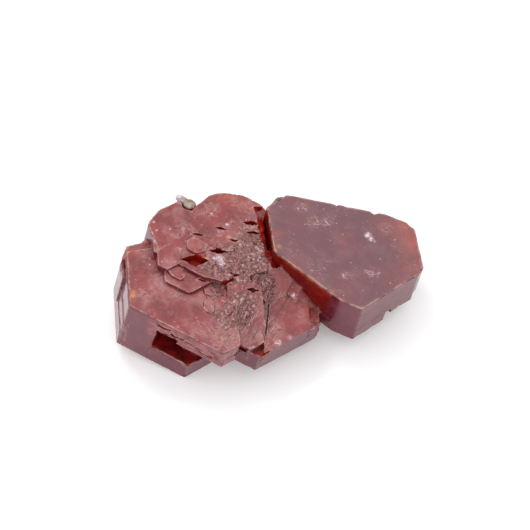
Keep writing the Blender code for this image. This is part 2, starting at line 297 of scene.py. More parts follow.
def etchedShare(place):
    u, v, level = leftAxes.read(place)
    if level < etched["lowest"] or onRight(place):
        return 0.0
    ragged = sum(amount * noise.noise(place * size)
                 for amount, size in zip(etched["ragged"], etched["raggedSize"]))
    turn = math.radians(etched["lean"])
    du, dv = u - etched["middle"][0], v - etched["middle"][1]
    du, dv = du * math.cos(turn) + dv * math.sin(turn), dv * math.cos(turn) - du * math.sin(turn)
    first = math.hypot(du / etched["reach"][0], dv / etched["reach"][1])
    du, dv = u - etched["front"][0], v - etched["front"][1]
    second = math.hypot(du / etched["frontReach"][0], dv / etched["frontReach"][1])
    return 1.0 - smooth(*etched["outline"], min(first, second) + ragged)


# The striped slope between the etched patch and the lower tablet, and the broken bands between the
# front rim and the recess below it. Each pair is where the zone starts and where it is full.
slopeZone = {"middle": (-0.1, -1.4), "slant": 0.12, "across": (1.6, 2.6), "along": (2.0, 3.6),
             "bottom": (-3.2, -2.6)}
ledgeZone = {"left": (-7.4, -6.7), "right": (0.8, 2.2), "front": (-5.6, -5.2),
             "bottom": (-4.3, -4.0), "top": (-1.75, -1.6)}


def slopeShare(u, v, level):
    zone = slopeZone
    across = abs(u - zone["middle"][0] + zone["slant"] * v)
    share = (1 - smooth(*zone["across"], across)) * (1 - smooth(*zone["along"], abs(v - zone["middle"][1])))
    return share * smooth(*zone["bottom"], level)


def ledgeShare(u, v, level):
    zone = ledgeZone
    share = smooth(*zone["left"], u) * (1 - smooth(*zone["right"], u)) * (1 - smooth(*zone["front"], v))
    return share * smooth(*zone["bottom"], level) * (1 - smooth(*zone["top"], level))


def treeOf(mesh, indices):
    tree = kdtree.KDTree(max(1, len(indices)))
    for index in indices:
        tree.insert(mesh.vertices[index].co, index)
    tree.balance()
    return tree


# Real relief of the crystal faces, in mm.

relief = {
    "swell": 0.010,              # slow unevenness of a grown face, and how many swells there are per mm
    "swellSize": 1.1,
    "leftPlates": {"count": 150, "middle": (-5.5, -0.5), "spread": (3.6, 3.8)},      # growth plates
    "rightPlates": {"count": 46, "middle": (4.5, 6.5), "spread": (4.0, 3.4)},
    "plateSize": (0.25, 1.7),
    "plateShape": (0.5, 1.2),    # how unequal a plate's six sides are
    "plateTurn": 4,              # degrees that they stray
    "plateHeight": (0.006, 0.020),
    "plateEdge": 0.07,           # width of the slope at a plate's edge
    "plateLevel": 0.9,           # plates lie only on faces this nearly square to the growth axis
    "etchBlocks": ((2.2, 0.05), (4.6, 0.05)),     # the etched patch: blocks per mm and their height
    "blockMiddle": 0.8,          # the share of that height that counts as level
    "lump": 0.03,
    "lumpSize": 1.1,
    "creviceDepth": 0.08,
    "creviceWidth": 0.07,
    "creviceSize": 1.7,
    "chip": 0.08,                # chips along the rims
    "chipSize": (1.5, 4.0),
    "chipSmall": 0.35,
    "chipFrom": (0.14, 0.55),
    "footHeight": 0.05,          # below this, the flat foot stays flat
    "ragged": (0.13, 0.06),      # how far the edges of pits and breaks wander, slowly and quickly
    "raggedSize": (1.9, 5.0),
    "raggedReach": 0.45,
    "raggedFlat": 0.75,          # share of the wander along the growth axis that is taken away
    "raggedRight": 0.35,         # share of that on the right crystal's clean edges
    "sharpAngle": 28,            # degrees between two triangles from which their edge is sharp
    "flatFrom": 0.9,             # the etched crust is shaded flat from this sum at the corners
    "seed": 21,
}


# A height for each block of the crust, from its middle.
def blockHeight(point):
    return noise.cell(Vector((point.x * 7.31 + 3.7, point.y * 5.77 + 1.9, point.z * 6.13 + 8.2)))


# Low six-sided growth plates, laid over each other on a crystal's faces.
def growthPlates(places, plates, axes, rng):
    origin = np.array(crystalOrigin)
    u = (places - origin) @ np.array(axes.u)
    v = (places - origin) @ np.array(axes.v)
    height = np.zeros(len(places))
    middle, spread, stray = plates["middle"], plates["spread"], relief["plateTurn"]
    low, high = relief["plateSize"]
    for _ in range(plates["count"]):
        centre = (middle[0] + rng.gauss(0, spread[0]), middle[1] + rng.gauss(0, spread[1]))
        size = low + (high - low) * rng.random() ** 2
        inside = np.full(len(places), np.inf)
        for corner in range(6):
            turn = math.radians(30 + 60 * corner + rng.uniform(-stray, stray))
            reach = size * rng.uniform(*relief["plateShape"])
            away = (u - centre[0]) * math.cos(turn) + (v - centre[1]) * math.sin(turn)
            inside = np.minimum(inside, reach - away)
        rise = rng.uniform(*relief["plateHeight"]) * rng.choice((1, 1, -1))
        height += rise * np.clip(inside / relief["plateEdge"], 0, 1)
    return height


def faceRelief(place):
    height = relief["swell"] * noise.noise(place * relief["swellSize"])
    share = etchedShare(place)
    if share > 0.01:
        for size, depth in relief["etchBlocks"]:
            centres = noise.voronoi(place * size)[1]
            height += share * depth * (blockHeight(centres[0]) - relief["blockMiddle"])
        height += share * relief["lump"] * noise.noise(place * relief["lumpSize"])
        away = abs(noise.noise(place * relief["creviceSize"] + Vector((4, 1, 7))))
        height -= share * relief["creviceDepth"] * (1 - smooth(0.0, relief["creviceWidth"], away))
    return height


# The edges of pits and breaks aren't straight: they wander, and what is beside them follows.
def wander(place, away):
    share = 1 - smooth(0.0, relief["raggedReach"], away)
    if onRight(place):
        share *= relief["raggedRight"]
    shift = Vector()
    for reach, size in zip(relief["ragged"], relief["raggedSize"]):
        shift += reach * noise.noise_vector(place * size + Vector((3, 8, 5)))
    return share * (shift - relief["raggedFlat"] * shift.dot(leftAxes.up) * leftAxes.up)


def carve(mesh, rim, broken):
    brokenEdges = treeOf(mesh, broken)
    rng = random.Random(relief["seed"])
    noise.seed_set(relief["seed"])            # or noise_vector differs from run to run
    normals = [vert.normal.copy() for vert in mesh.vertices]
    places = np.array([vert.co / mm for vert in mesh.vertices])
    flatness = np.abs(np.array([normal.dot(leftAxes.up) for normal in normals]))
    leftPlates = growthPlates(places, relief["leftPlates"], leftAxes, rng)
    rightPlates = growthPlates(places, relief["rightPlates"], rightAxes, rng)
    coarse, fine = relief["chipSize"]
    moved = []
    for index, vert in enumerate(mesh.vertices):
        place = vert.co / mm
        height = faceRelief(place)
        if flatness[index] > relief["plateLevel"]:
            height += (rightPlates if onRight(place) else leftPlates)[index]
        if index in rim:
            nick = noise.noise(place * coarse + Vector((5, 9, 2)))
            small = noise.noise(place * fine + Vector((1, 7, 3)))
            height -= relief["chip"] * smooth(*relief["chipFrom"], nick + relief["chipSmall"] * small)
        if place.z < relief["footHeight"]:
            height = 0.0
        place += normals[index] * height
        away = brokenEdges.find(vert.co)[2] / mm
        if away < relief["raggedReach"]:
            place += wander(place, away)
        place.z = max(place.z, 0.0)
        moved.append(place * mm)
    for vert, place in zip(mesh.vertices, moved):
        vert.co = place


# Marks that the colours follow. Each is a soft spot at (u, v) on one crystal: (u, v, size, strength).

marks = {
    # painted glints: white sparkle
    "whiteLeft": ((-4.63, 0.65, 0.42, 1.0), (-4.25, 0.42, 0.34, 0.9), (-4.95, 0.4, 0.25, 0.7),
                  (-7.03, 4.05, 0.16, 0.8), (-5.43, 3.85, 0.16, 0.9), (-8.3, 1.59, 0.13, 0.9),
                  (-9.29, 0.98, 0.12, 0.6), (2.03, 1.56, 0.22, 0.9), (2.79, -2.96, 0.34, 0.8),
                  (3.44, -2.03, 0.25, 0.6), (-10.71, 0.88, 0.14, 0.8), (-10.15, 0.33, 0.14, 0.7),
                  (-7.6, 0.9, 0.1, 0.6)),
    "whiteRight": ((5.77, 8.26, 0.30, 1.0), (6.12, 8.0, 0.24, 1.0), (0.18, 5.6, 0.12, 0.5),
                   (6.5, 7.9, 0.18, 0.4), (7.84, 5.15, 0.14, 0.5), (7.46, 6.48, 0.12, 0.5)),
    "veilLeft": ((-7.72, -3.73, 0.9, 0.6), (-6.38, -3.68, 0.7, 0.5), (-8.24, -5.24, 0.8, 0.35),
                 (-3.14, -3.43, 0.55, 0.7), (-3.81, -1.88, 0.5, 0.6), (-1.14, -5.1, 1.6, 0.6),
                 (-7.89, -1.8, 0.6, 0.5), (-4.6, 6.3, 0.9, 0.4)),
    "veilRight": ((7.13, 4.91, 0.5, 0.4), (5.36, 3.71, 0.4, 0.35), (0.6, 3.9, 1.3, 0.11),
                  (3.2, 2.9, 1.5, 0.11), (1.3, 7.4, 0.8, 0.25), (2.2, 7.9, 0.5, 0.3), (7.5, 5.0, 0.6, 0.3),
                  (7.0, 9.5, 0.6, 0.2), (-0.2, 8.4, 0.7, 0.2)),
    # painted glow where light shows through thin parts
    "paintedGlowLeft": ((3.5, 0.9, 0.8, 0.55), (-3.6, 6.9, 0.7, 0.8), (-4.7, 6.5, 0.6, 0.5),
                 (-6.8, 7.0, 1.6, 0.75), (-11.2, -1.6, 1.0, 0.7), (-10.6, -0.4, 0.8, 0.6)),
    "paintedGlowRight": ((9.5, 9.6, 1.6, 0.65), (8.3, 10.4, 1.2, 0.6), (6.7, 9.9, 0.9, 0.3),
                  (11.0, 7.5, 1.5, 0.3), (-1.1, 5.0, 0.5, 0.4), (-0.9, 4.5, 0.3, 0.4)),
    # bright orange spots of painted glow
    "amberLeft": ((-9.2, -5.75, 0.22, 1.0), (-9.3, -5.4, 0.2, 0.7), (-3.3, 7.0, 0.25, 0.5)),
    "amberRight": ((-0.5, 3.9, 0.2, 0.4), (9.9, 9.9, 0.3, 0.3)),
}
spotFade = 1.2        # how fast a spot fades, and at how many sizes it has ended
spotReach = 2.0


def spots(u, v, group):
    total = 0.0
    for spotU, spotV, size, strength in marks[group]:
        away = ((u - spotU) ** 2 + (v - spotV) ** 2) / (size * size)
        if away < spotReach ** 2:
            total = max(total, strength * math.exp(-away * spotFade))
    return total


# How much of the sky each triangle is shut off from by the solid's own walls: 0 open, 1 shut in.
shelter = {"rays": 16, "reach": 3.0, "lift": 0.02, "spiral": 2.399963, "hiddenBelow": -0.5}


def shutIn(mesh, node):
    walls = BVHTree.FromPolygons([vert.co / mm for vert in node.data.vertices],
                                 [tuple(face.vertices) for face in node.data.polygons])
    rays = []
    for index in range(shelter["rays"]):
        share = (index + 0.5) / shelter["rays"]
        turn = index * shelter["spiral"]
        wide = math.sqrt(share)
        rays.append((wide * math.cos(turn), wide * math.sin(turn), math.sqrt(1 - share)))
    shut = []
    for face in mesh.polygons:
        normal = face.normal
        if normal.z < shelter["hiddenBelow"]:
            shut.append(0.0)
            continue
        across = normal.orthogonal().normalized()
        up = normal.cross(across)
        start = face.center / mm + normal * shelter["lift"]
        hits = 0
        for x, y, z in rays:
            if walls.ray_cast(start, across * x + up * y + normal * z, shelter["reach"])[0] is not None:
                hits += 1
        shut.append(hits / shelter["rays"])
    return shut


# Where the painted layers start and end, in mm or as a slant.
paintEdges = {
    "leftRim": (0.02, 0.10),          # width of the pale line along a rim, a painted highlight
    "rightRim": (0.02, 0.15),
    "crease": (0.01, 0.07),           # width of the dark line in a crease, painted shade
    "faintCrease": 0.35,              # how dark it is on the strips at the left end
    "faintBelow": -1.0,
    "upright": (0.35, 0.8),
    "paintedRimGlow": (0.15, 0.55),            # depth of the painted glow below the right crystal's rim
    "high": (-2.4, -1.6),             # painted shade: the inner red gets brighter between these levels
    "top": (-2.9, -2.5),              # levels between which the marks of the top appear
    "paleLedges": (-2.9, 0.9),        # below this level the left end's ledges are this pale
}


# The painted layers that the materials read.
def paint(mesh, rim, crease, shut):
    rims, creases = treeOf(mesh, rim), treeOf(mesh, crease)
    around = [[] for vert in mesh.vertices]
    for face, value in zip(mesh.polygons, shut):
        for index in face.vertices:
            around[index].append(value)
    names = ("etched", "white", "veil", "paintedGlow", "amber", "rim", "crease", "right", "upright", "paintedRimGlow",
             "slope", "ledge", "high")
    layers = {name: [] for name in names}
    layers["shut"] = [sum(values) / len(values) for values in around]
    ledgeLevel, ledgePale = paintEdges["paleLedges"]
    for vert in mesh.vertices:
        place = vert.co / mm
        right = onRight(place)
        axes = rightAxes if right else leftAxes
        u, v, level = axes.read(place)
        side = "Right" if right else "Left"
        onTop = smooth(*paintEdges["top"], level)
        rimWidth = paintEdges["rightRim" if right else "leftRim"]
        # the pale line along the rims: a painted highlight
        layers["rim"].append(1 - smooth(*rimWidth, rims.find(vert.co)[2] / mm))
        # a dark line in the creases: painted shade
        faint = 1.0
        if u < insides["leftEnd"] and level < paintEdges["faintBelow"]:
            faint = paintEdges["faintCrease"]
        near = 1 - smooth(*paintEdges["crease"], creases.find(vert.co)[2] / mm)
        layers["crease"].append(faint * near)
        layers["right"].append(1.0 if right else 0.0)
        layers["upright"].append(1 - smooth(*paintEdges["upright"], abs(vert.normal.dot(axes.up))))
        # painted glow below the right crystal's rim
        layers["paintedRimGlow"].append((1 - smooth(*paintEdges["paintedRimGlow"], -level)) if right else 0.0)
        layers["slope"].append(0.0 if right else slopeShare(u, v, level))
        layers["ledge"].append(0.0 if right else ledgeShare(u, v, level))
        layers["high"].append(smooth(*paintEdges["high"], level))
        layers["etched"].append(etchedShare(place))
        # painted glints: white sparkle
        layers["white"].append(spots(u, v, "white" + side) * onTop)
        onLedge = not right and u < insides["leftEnd"] and level < ledgeLevel
        layers["veil"].append(ledgePale if onLedge else spots(u, v, "veil" + side) * onTop)
        # painted glow where light shows through thin parts
        layers["paintedGlow"].append(spots(u, v, "paintedGlow" + side) * onTop)
        # bright orange spots of painted glow
        layers["amber"].append(spots(u, v, "amber" + side) * onTop)
    for name, values in layers.items():
        mesh.attributes.new(name, 'FLOAT', 'POINT').data.foreach_set("value", values)
    return layers


# Flat patches that look into the crystal: pits, slits, the front recess, and the walls of the gap.
# They get painted shade: the less reflecting inner red, where their walls hide the sky.
insides = {
    "shutFloor": 0.50,                   # above this share of hidden sky, a level patch is inside
    "shutWall": 0.64,                    # and an upright one
    "levelFrom": 0.6,                    # a patch this nearly square to the growth axis is level
    "slopeEdge": (-2.2, -3.4, 3.0),      # the slope: from this u on, between these v,
    "slopeLevel": -1.0,                  # and below this level
    "slopeShut": 0.93,                   # only its deep slits are inside,
    "slopeEnd": 0.3,                     # up to this u
    "leftEnd": -8.6,                     # beyond this u and below this level nothing is, but the red chip
    "leftLevel": -2.0,
    "never": 2.0,                        # more than any share
    "redChip": (-11.30, -3.10, -2.60, 0.55),     # the low lobe's chip: its (u, v, level) and size
    "frontPit": (1.85, -4.20, -2.86, 0.62),      # the shallow pit in front, the same way
    "pitShut": 0.25,
    "smallest": 0.004,                   # mm2
    "gapWalls": (208, 253),              # directions of the right crystal's sides that face the gap
    "tabletWalls": (-30, 0, 30),         # and of the left crystal's lower tablet
    "gapEnd": (3.3, -0.3, -4.9),         # that tablet's end below the gap, in the left (u, v, level)
    "wallFacing": 0.97,
    "wallShare": 0.5,
    "wallEnd": (5.05, 0.03),             # the right wall shows its red up to this u, less per mm down
}


def isGapWall(place, normal):
    if onRight(place):
        axes, turns = rightAxes, insides["gapWalls"]
    else:
        if any(value < end for value, end in zip(leftAxes.read(place), insides["gapEnd"])):
            return False
        axes, turns = leftAxes, insides["tabletWalls"]
    for angle in turns:
        turn = math.radians(angle)
        if normal.dot(axes.u * math.cos(turn) + axes.v * math.sin(turn)) > insides["wallFacing"]:
            return True
    return False


def isNear(place, spot):
    *centre, reach = insides[spot]
    return not onRight(place) and math.dist(leftAxes.read(place), centre) < reach


# The front end of the right crystal's gap wall looks out into the open, and mirrors it.
def pastGap(place):
    u, _, level = rightAxes.read(place)
    end, slant = insides["wallEnd"]
    return onRight(place) and u > end + slant * level


# The share of hidden sky above which a patch here is inside.
def shutLimit(place, normal):
    if isNear(place, "frontPit"):
        return insides["pitShut"]
    u, v, level = leftAxes.read(place)
    startU, lowV, highV = insides["slopeEdge"]
    if not onRight(place) and u > startU and lowV < v < highV and level < insides["slopeLevel"]:
        return insides["slopeShut" if u < insides["slopeEnd"] else "never"]
    if u < insides["leftEnd"] and level < insides["leftLevel"]:
        return insides["never"]
    return insides["shutFloor" if abs(normal.dot(leftAxes.up)) > insides["levelFrom"] else "shutWall"]


def sortPatches(mesh, patchOf, shut):
    area, shaded, walls, limit = {}, {}, {}, {}
    for face, patch, value in zip(mesh.polygons, patchOf, shut):
        size = face.area / mm ** 2
        area[patch] = area.get(patch, 0.0) + size
        shaded[patch] = shaded.get(patch, 0.0) + size * value
        limit[patch] = limit.get(patch, 0.0) + size * shutLimit(face.center / mm, face.normal)
        if isGapWall(face.center / mm, face.normal):
            walls[patch] = walls.get(patch, 0.0) + size
    inside = set()
    for patch, size in area.items():
        wall = walls.get(patch, 0.0) > insides["wallShare"] * size
        if size > insides["smallest"] and (wall or shaded[patch] > limit[patch]):
            inside.add(patch)
    return inside


# Shader helpers. A name given where a node wants a value stands for that entry of the dictionary.
class Nodes:
    def __init__(self, name, look):
        self.look = look
        self.material = bpy.data.materials.new(name)
        self.material.use_nodes = True
        self.tree = self.material.node_tree
        self.shader = self.tree.nodes["Principled BSDF"]

    def add(self, kind, inputs=(), **values):
        node = self.tree.nodes.new(kind)
        for key, value in values.items():
            setattr(node, key, value)
        for key, value in dict(inputs).items():
            self.put(node.inputs[key], value)
        return node

    def put(self, socket, value):
        if isinstance(value, bpy.types.NodeSocket):
            self.tree.links.new(value, socket)
            return
        if isinstance(value, str):
            value = self.look[value]
        socket.default_value = (*value, 1.0) if socket.type == 'RGBA' else value

    # values of the shader itself
    def set(self, values):
        for name, value in values.items():
            self.put(self.shader.inputs[name], value)

    def value(self, name):
        return self.add("ShaderNodeAttribute", attribute_name=name).outputs["Fac"]

    def maths(self, operation, first, second=0.0, clamp=False):
        node = self.add("ShaderNodeMath", operation=operation, use_clamp=clamp)
        self.put(node.inputs[0], first)
        self.put(node.inputs[1], second)
        return node.outputs[0]

    def times(self, first, *others):
        for other in others:
            first = self.maths('MULTIPLY', first, other)
        return first

    # a value brought from one range to another
    def spread(self, value, span):
        span = self.look[span] if isinstance(span, str) else span
        low, high, toLow, toHigh = (*span, 0.0, 1.0)[:4]
        node = self.add("ShaderNodeMapRange", {"Value": value, "From Min": low, "From Max": high,
                                               "To Min": toLow, "To Max": toHigh})
        return node.outputs["Result"]

    def mix(self, share, first, second):
        node = self.add("ShaderNodeMix", data_type='RGBA')
        self.put(node.inputs[0], share)
        self.put(node.inputs[6], first)
        self.put(node.inputs[7], second)
        return node.outputs[2]

    # a colour laid over the body, as strongly as its shares multiplied
    def lay(self, body, colour, *shares):
        return self.mix(self.times(*shares), body, colour)

    # object position in mm
    def place(self):
        if not hasattr(self, "spot"):
            where = self.add("ShaderNodeTexCoord").outputs["Object"]
            perMm = 1 / mm
            self.spot = self.add("ShaderNodeVectorMath", {0: where, 1: (perMm, perMm, perMm)},
                                 operation='MULTIPLY').outputs[0]
        return self.spot

    def noise(self, name):
        perMm, detail, roughness, distortion = self.look[name][:4]
        texture = self.add("ShaderNodeTexNoise", {"Vector": self.place(), "Scale": perMm, "Detail": detail,
                                                  "Roughness": roughness, "Distortion": distortion})
        return texture.outputs["Fac"]

    def clouds(self, name):
        return self.spread(self.noise(name), self.look[name][4:])

    # thin marks of a given length and width in mm, along one direction seen from above
    def strokes(self, name):
        turn, size, shift = self.look[name][:3]
        turned = self.add("ShaderNodeMapping", {"Vector": self.place(), "Location": (shift, -shift, 0.0),
                                                "Rotation": (0.0, 0.0, math.radians(turn)),
                                                "Scale": (*size, 1.0)}, vector_type='TEXTURE')
        texture = self.add("ShaderNodeTexNoise", {"Vector": turned.outputs[0], "Scale": 1.0,
                                                  "Detail": 2.0, "Roughness": 0.5})
        return self.spread(texture.outputs["Fac"], self.look[name][3:])

    # cells in space: the distance from their middles, and a chance value for each
    def cells(self, perMm, channel=0):
        texture = self.add("ShaderNodeTexVoronoi", {"Vector": self.place(), "Scale": perMm})
        chance = self.add("ShaderNodeSeparateColor", {"Color": texture.outputs["Color"]})
        return texture.outputs["Distance"], chance.outputs[channel]

    def finish(self, body, rough, tall):
        bump = self.add("ShaderNodeBump", {"Strength": "bump", "Distance": "bumpDepth", "Height": tall})
        self.set({"Base Color": body, "Roughness": rough, "Normal": bump.outputs["Normal"], "IOR": "ior"})
        return self.material


# The grown red faces. A cloudy pattern is (per mm, detail, roughness, distortion, start, end), and may
# go on with its amounts at the start and the end. Marks are (direction in degrees seen from above,
# (length, width) in mm, shift, start, end). A range is (start, end) or (start, end, amounts there).
vanadinite = {
    "deepRed": (0.165, 0.018, 0.022),
    "brightRed": (0.270, 0.034, 0.034),
    "leftClouds": (0.55, 4.0, 0.6, 0.4, 0.38, 0.64),
    "rightRed": (0.130, 0.046, 0.058),
    "rightWarm": (0.172, 0.046, 0.052),
    "rightClouds": (0.30, 3.0, 0.5, 0.2, 0.40, 0.66),
    # painted glow where light shows through thin parts
    "glow": (0.400, 0.075, 0.042),
    "glowClouds": (0.9, 4.0, 0.6, 0.4, 0.25, 0.60, 0.35, 1.0),
    "veil": (0.40, 0.20, 0.19),
    "milk": (0.75, 2.0, 0.5, 0.6, 0.46, 0.70),
    "milkAmount": 0.40,
    "mottle": (3.0, 3.0, 0.6, 0.3, 0.52, 0.70),
    "mottleAmount": 0.16,
    "clearRight": 0.72,                       # share of both that the right crystal lacks
    "veilClouds": (2.2, 4.0, 0.6, 0.5, 0.35, 0.65, 0.2, 1.0),
    "veilRight": (0.0, 1.0, 1.0, 0.4),
    "sideRed": (0.160, 0.016, 0.033),
    "sideDeep": (0.106, 0.009, 0.022),
    "sideClouds": (0.8, 4.0, 0.65, 0.6, 0.36, 0.64),
    "ledgeRed": (0.200, 0.012, 0.022),
    "ledgePale": (0.290, 0.060, 0.075),
    "ledgeBands": (1.6, 3.0, 0.6, 0.3, 0.40, 0.60),
    "ledgeBlots": (2.2, 3.0, 0.65, 0.8, 0.565, 0.60),
    "blotAmount": 0.85,

    "etchedRed": (0.180, 0.062, 0.061),
    "etchedPale": (0.275, 0.145, 0.138),
    "crustGrains": 5.5,                       # per mm
    "crustTones": (0.25, 0.95),
    "crustAmount": 0.8,
    "brightGrains": (0.84, 0.90),
    "brightAmount": 0.35,
    # painted shade: dark blots for the crust's small hollows
    "hollows": (1.4, 3.0, 0.65, 1.0, 0.60, 0.63),
    "hollowAmount": 0.7,
    "maze": (2.3, 3.0, 0.65, 0.5),            # furrows, where this noise is near this value
    "mazeMiddle": 0.5,
    "mazeWidth": (0.004, 0.018, 1.0, 0.0),
    "mazeClouds": (0.9, 2.0, 0.55, 0.0, 0.40, 0.52),
    "mazeEtched": (0.1, 0.7),
    "mazeAmount": 0.75,
    "paintedShadeRed": (0.100, 0.014, 0.014),
    "shade": (0.45, 0.9, 0.0, 0.45),          # painted shade, by the share of hidden sky

    "speck": (0.70, 0.50, 0.48),
    "specks": 1.9,                            # cells per mm, of which some are chosen
    "speckChosen": (0.60, 0.75),
    "speckSize": (0.05, 0.15, 1.0, 0.0),
    "speckClouds": (6.0, 2.0, 0.55, 0.0, 0.40, 0.55),
    "speckAmount": 0.80,
    "speckLess": 0.70,                        # how much less on the sides
    # dark red of cracks, also the painted shade in creases
    "crackAndCreaseShadeRed": (0.060, 0.004, 0.003),
    # dark red of seams and furrows, also the painted shade in the hollows
    "seamAndHollowShadeRed": (0.110, 0.014, 0.012),
    "darkLines": (34.5, (0.50, 0.09), 3.0, 0.585, 0.620),
    "darkClouds": (0.7, 2.0, 0.55, 0.0, 0.46, 0.60),
    "darkAmount": 0.80,
    "paleLines": (-25.5, (0.40, 0.06), 11.0, 0.63, 0.68),
    "paleClouds": (0.8, 2.0, 0.5, 0.4, 0.50, 0.62),
    "paleAmount": 0.50,
    "paleLess": 0.20,                         # how much less on the right crystal
    "wisps": (12.0, (0.55, 0.12), 21.0, 0.59, 0.64),
    "crossWisps": (128.0, (0.60, 0.12), 31.0, 0.58, 0.63),
    "wispVeil": (0.05, 0.30),
    "wispRight": (0.0, 1.0, 0.15, 0.55),
    "stripes": (64.5, (1.8, 0.09), 6.0, 0.58, 0.63),
    "stripeAmount": 0.65,
    "paleStripes": (64.5, (1.2, 0.08), 17.0, 0.62, 0.68),
    "paleStripeAmount": 0.50,

    "creaseClouds": (1.7, 3.0, 0.6, 0.0, 0.40, 0.60, 0.10, 0.65),
    # painted highlight along the rims
    "rimHighlightPale": (0.55, 0.33, 0.28),
    "rimClouds": (1.3, 4.0, 0.6, 0.0, 0.38, 0.58),
    "rimUpright": (0.4, 0.8, 0.70, 0.12),
    # bright orange spots of painted glow
    "amber": (0.800, 0.330, 0.090),
    "amberClouds": (1.8, 3.0, 0.55, 0.0, 0.3, 0.6, 0.5, 1.0),
    # painted glints: a lilac haze and white sparkle, on a rougher surface
    "lilac": (0.62, 0.44, 0.48),
    "lilacWhite": (0.1, 0.8, 0.0, 0.45),
    "white": (0.90, 0.82, 0.85),
    "frostAndGlintGrains": 7.5,                       # per mm
    "frostAndGlintChosen": (0.50, 0.80, 0.0, 0.85),
    "frostAndGlintWhite": (0.2, 0.9),

    "smears": (1.6, 4.0, 0.6, 0.0, 0.35, 0.7, 0.16, 0.32),      # roughness
    "etchedRough": 0.18,
    "sideRough": 0.06,
    "frostAndGlintRough": 0.2,
    "grit": (9.0, 4.0, 0.65, 0.0),            # bumps
    "gritEtched": (0.0, 1.0, 0.3, 1.2),
    "waves": (2.1, 3.0, 0.5, 0.0),
    "wavesUpright": (0.0, 1.0, 1.0, 0.25),
    "bump": 0.30,
    "bumpDepth": 0.00006,                     # m
    "ior": 1.55,
}


def vanadiniteMaterial():
    make = Nodes("vanadiniteRed", vanadinite)
    etchedPart, white, veil = make.value("etched"), make.value("white"), make.value("veil")
    right, upright = make.value("right"), make.value("upright")
    slope, ledge = make.value("slope"), make.value("ledge")
    level = make.maths('SUBTRACT', 1.0, upright)
    left = make.maths('SUBTRACT', 1.0, right)

    leftBody = make.mix(make.clouds("leftClouds"), "deepRed", "brightRed")
    rightBody = make.mix(make.clouds("rightClouds"), "rightRed", "rightWarm")
    body = make.mix(right, leftBody, rightBody)
    # painted glow where light shows through thin parts
    body = make.lay(body, "glow", make.value("paintedGlow"), make.clouds("glowClouds"))
    milk = make.times(make.clouds("milk"), "milkAmount")
    mottle = make.times(make.clouds("mottle"), "mottleAmount")
    murk = make.maths('SUBTRACT', 1.0, make.times(right, "clearRight"))
    body = make.lay(body, "veil", make.maths('ADD', milk, mottle, clamp=True), murk)
    body = make.lay(body, "veil", veil, make.clouds("veilClouds"), make.spread(right, "veilRight"))
    sides = make.mix(make.clouds("sideClouds"), "sideDeep", "sideRed")
    body = make.mix(upright, body, sides)
    bands = make.mix(make.clouds("ledgeBands"), "ledgeRed", "ledgePale")
    body = make.mix(ledge, body, bands)
    body = make.lay(body, "crackAndCreaseShadeRed", ledge, make.clouds("ledgeBlots"), "blotAmount")

    # the etched crust, grain by grain
    tone = make.cells("crustGrains")[1]
    crust = make.mix(make.spread(tone, "crustTones"), "etchedRed", "etchedPale")
    body = make.lay(body, crust, etchedPart, "crustAmount")
    body = make.lay(body, "speck", make.spread(tone, "brightGrains"), etchedPart, "brightAmount")
    # painted shade in the crust's small hollows
    body = make.lay(body, "seamAndHollowShadeRed", make.clouds("hollows"), etchedPart, "hollowAmount")
    maze = make.maths('ABSOLUTE', make.maths('SUBTRACT', make.noise("maze"), "mazeMiddle"))
    body = make.lay(body, "seamAndHollowShadeRed", make.spread(maze, "mazeWidth"), make.clouds("mazeClouds"),
                    "mazeAmount", make.spread(etchedPart, "mazeEtched"))
    # painted shade where the walls hide the sky
    body = make.lay(body, "paintedShadeRed", make.spread(make.value("shut"), "shade"))

    # pale specks, a few in each square mm
    distance, chance = make.cells("specks")
    amount = make.maths('SUBTRACT', "speckAmount", make.times(upright, "speckLess"))
    body = make.lay(body, "speck", make.spread(distance, "speckSize"),
                    make.spread(chance, "speckChosen"), make.clouds("speckClouds"), amount)

    # thin cracks and pale scratches along the crystal's own directions
    body = make.lay(body, "seamAndHollowShadeRed", make.strokes("darkLines"), make.times(level, left),
                    make.clouds("darkClouds"), "darkAmount")
    amount = make.maths('SUBTRACT', "paleAmount", make.times(right, "paleLess"))
    body = make.lay(body, "speck", make.strokes("paleLines"), level, make.clouds("paleClouds"), amount)
    wisps = make.maths('ADD', make.strokes("wisps"), make.strokes("crossWisps"), clamp=True)
    body = make.lay(body, "speck", wisps, make.spread(veil, "wispVeil"), make.spread(right, "wispRight"))
    body = make.lay(body, "crackAndCreaseShadeRed", make.strokes("stripes"), slope, "stripeAmount")
    body = make.lay(body, "speck", make.strokes("paleStripes"), slope, "paleStripeAmount")

    # creases, rims, and the listed marks
    # painted shade along the creases
    body = make.lay(body, "crackAndCreaseShadeRed", make.value("crease"), make.clouds("creaseClouds"))
    # painted highlight along the rims
    body = make.lay(body, "rimHighlightPale", make.value("rim"), make.clouds("rimClouds"),
                    make.spread(upright, "rimUpright"))
    # bright orange spots of painted glow
    body = make.lay(body, "amber", make.value("amber"), make.clouds("amberClouds"))
    # painted glints: a lilac haze and white sparkle, on a rougher surface
    body = make.lay(body, "lilac", make.spread(white, "lilacWhite"))
    chosen = make.spread(make.cells("frostAndGlintGrains", 1)[1], "frostAndGlintChosen")
    frostAndGlints = make.maths('MULTIPLY', make.spread(white, "frostAndGlintWhite"), chosen, clamp=True)
    body = make.lay(body, "white", frostAndGlints)

    rough = make.maths('ADD', make.clouds("smears"), make.times(etchedPart, "etchedRough"))
    rough = make.maths('SUBTRACT', rough, make.times(upright, "sideRough"))
    rough = make.maths('ADD', rough, make.times(frostAndGlints, "frostAndGlintRough"), clamp=True)
    grit = make.times(make.noise("grit"), make.spread(etchedPart, "gritEtched"))
    tall = make.maths('ADD', grit, make.noise("waves"))
    return make.finish(body, rough, make.times(tall, make.spread(upright, "wavesUpright")))


